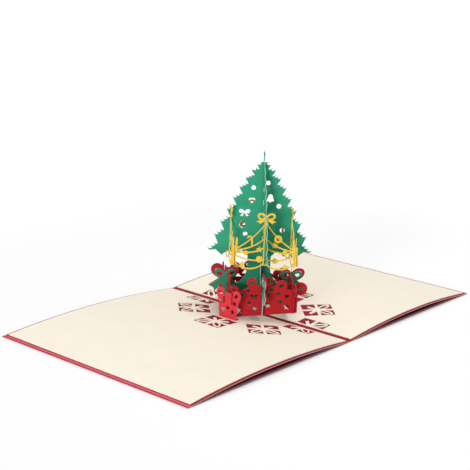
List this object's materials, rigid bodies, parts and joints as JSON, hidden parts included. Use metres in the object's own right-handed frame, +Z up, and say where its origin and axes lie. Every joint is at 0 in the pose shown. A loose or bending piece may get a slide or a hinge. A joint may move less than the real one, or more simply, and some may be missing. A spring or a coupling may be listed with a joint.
{
  "type": "pop-up greeting card",
  "caption": "Square greeting card lying open, with a slotted paper tree, lace garland sheets and gift box sheets standing up over the fold.",
  "frame": {"origin": "middle of the fold, on the table that the open card lies on", "axes": "+X across the fold, towards the right page; +Y along the fold, away from the front; +Z up"},
  "size_m": [0.3002, 0.15, 0.1106],
  "materials": {
    "cover_red": "matt coated card",
    "liner_cream": "uncoated paper",
    "tree_green": "uncoated paper",
    "garland_yellow": "uncoated paper",
    "gift_red": "uncoated paper",
    "bow_red": "uncoated paper"
  },
  "bodies": {
    "root": {"cover": "cover_red", "liner_left": "liner_cream", "liner_right": "liner_cream", "tree_sheet_left_right": "tree_green", "tree_sheet_front_back": "tree_green", "gift_anchor_left": "gift_red", "gift_anchor_right": "gift_red", "garland_front_left": "garland_yellow", "gift_panel_front_left": "gift_red", "red_bow_front_left": "bow_red", "garland_front_right": "garland_yellow", "gift_panel_front_right": "gift_red", "red_bow_front_right": "bow_red", "garland_back_left": "garland_yellow", "gift_panel_back_left": "gift_red", "red_bow_back_left": "bow_red", "garland_back_right": "garland_yellow", "gift_panel_back_right": "gift_red", "red_bow_back_right": "bow_red"}
  },
  "joints": []
}
